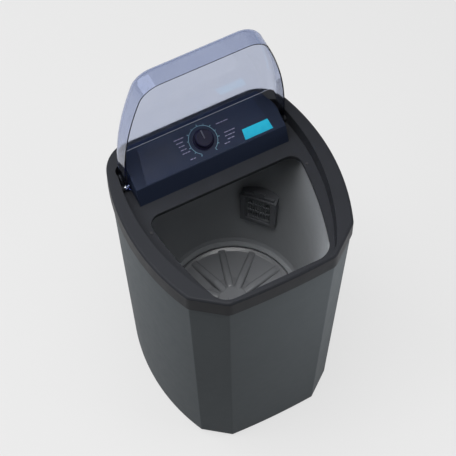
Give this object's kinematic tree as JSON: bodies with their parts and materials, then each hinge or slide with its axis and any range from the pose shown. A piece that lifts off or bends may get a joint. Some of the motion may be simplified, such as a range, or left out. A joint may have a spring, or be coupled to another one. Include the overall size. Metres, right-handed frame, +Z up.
{
  "type": "semi_automatic_washing_machine",
  "caption": "Semi-automatic washing machine with a bowed dark grey plastic cabinet, sloping navy control panel with one knob and an open clear lid",
  "frame": {"origin": "on the floor under the middle of the machine", "axes": "+Z up, the user stands at -Y facing the machine, +X is to that user's right"},
  "size_m": [0.542, 0.52, 1.222],
  "materials": {
    "cabinet_plastic": "moulded",
    "foot_rubber": "moulded",
    "screw_steel": "zinc plated",
    "deck_plastic": "moulded",
    "pin_steel": "ground",
    "bumper_rubber": "moulded",
    "lid_clear": "translucent violet-grey",
    "console_plastic": "moulded",
    "panel_navy": "printed film",
    "tab_turquoise": "printed film",
    "timer_plastic": "moulded",
    "knob_plastic": "moulded",
    "pointer_white": "moulded",
    "tub_plastic": "moulded",
    "cast_aluminium": "cast",
    "bush_brass": "sintered",
    "seal_rubber": "moulded",
    "pulsator_plastic": "moulded",
    "belt_rubber": "moulded",
    "bracket_steel": "galvanised",
    "motor_paint": "painted",
    "rotor_steel": "laminated",
    "fan_plastic": "moulded",
    "capacitor_plastic": "moulded",
    "drain_plastic": "moulded",
    "hose_rubber": "moulded",
    "cover_plastic": "moulded",
    "gland_plastic": "moulded",
    "loom_plastic": "sleeved",
    "filter_plastic": "moulded",
    "mesh_plastic": "moulded"
  },
  "bodies": {
    "cabinet": {"base_ring": "cabinet_plastic", "bearing_housing": "cast_aluminium", "bracket_bolts": "screw_steel", "bracket_posts": "bracket_steel", "cabinet_shell": "cabinet_plastic", "capacitor": "capacitor_plastic", "capacitor_clip": "bracket_steel", "console_housing": "console_plastic", "cord_gland": "gland_plastic", "drain_hose": "hose_rubber", "drain_outlet": "drain_plastic", "drive_belt": "belt_rubber", "feet": "foot_rubber", "filter_pocket": "tub_plastic", "foot_screws": "screw_steel", "hinge_pins": "pin_steel", "hose_clamps": "screw_steel", "housing_screws": "screw_steel", "lid_bumpers": "bumper_rubber", "lid_stops": "bumper_rubber", "lower_bush": "bush_brass", "motor_bolts": "screw_steel", "motor_bracket": "bracket_steel", "motor_bush_lower": "bush_brass", "motor_bush_upper": "bush_brass", "motor_case": "motor_paint", "panel_film": "panel_navy", "panel_tab": "tab_turquoise", "rear_cover": "cover_plastic", "rear_cover_screws": "screw_steel", "rear_tray": "cabinet_plastic", "rear_wall": "cabinet_plastic", "shaft_seal": "seal_rubber", "timer_case": "timer_plastic", "timer_screws": "screw_steel", "top_deck": "deck_plastic", "top_rim": "deck_plastic", "tub": "tub_plastic", "tub_base": "tub_plastic", "tub_drain": "drain_plastic", "tub_screws": "screw_steel", "tub_wall": "tub_plastic", "upper_bush": "bush_brass", "wiring_loom": "loom_plastic"},
    "lid": {"lid_shell": "lid_clear"},
    "knob": {"knob": "knob_plastic", "knob_pointer": "pointer_white", "timer_shaft": "pin_steel"},
    "pulsator": {"pulsator": "pulsator_plastic", "pulsator_nut": "screw_steel", "pulsator_cap": "pulsator_plastic", "drive_shaft": "pin_steel", "drive_pulley": "cast_aluminium", "pulley_nut": "screw_steel"},
    "rotor": {"rotor_core": "rotor_steel", "motor_shaft": "pin_steel", "cooling_fan": "fan_plastic", "motor_pulley": "cast_aluminium"},
    "filter": {"filter_frame": "filter_plastic", "filter_mesh": "mesh_plastic"}
  },
  "joints": [
    {"name": "lid_hinge", "type": "hinge", "parent": "cabinet", "child": "lid", "pos_m": [0, 0.157, 0.828], "axis": [1, 0, 0], "range_deg": [0, 90]},
    {"name": "knob_turn", "type": "hinge", "parent": "cabinet", "child": "knob", "pos_m": [0, 0.162, 0.882], "axis": [0, -0.3223, 0.9466], "range_deg": [-330, 0]},
    {"name": "pulsator_spin", "type": "hinge", "parent": "cabinet", "child": "pulsator", "pos_m": [0, 0, 0.285], "axis": [0, 0, 1], "continuous": true},
    {"name": "rotor_spin", "type": "hinge", "parent": "cabinet", "child": "rotor", "pos_m": [0, -0.15, 0.205], "axis": [0, 0, 1], "continuous": true},
    {"name": "filter_lift", "type": "slide", "parent": "cabinet", "child": "filter", "axis": [0, 0, 1], "range_m": [0, 0.15]}
  ],
  "couplings": [
    {"joint": "rotor_spin", "follows": "pulsator_spin", "ratio": 3.8962}
  ]
}
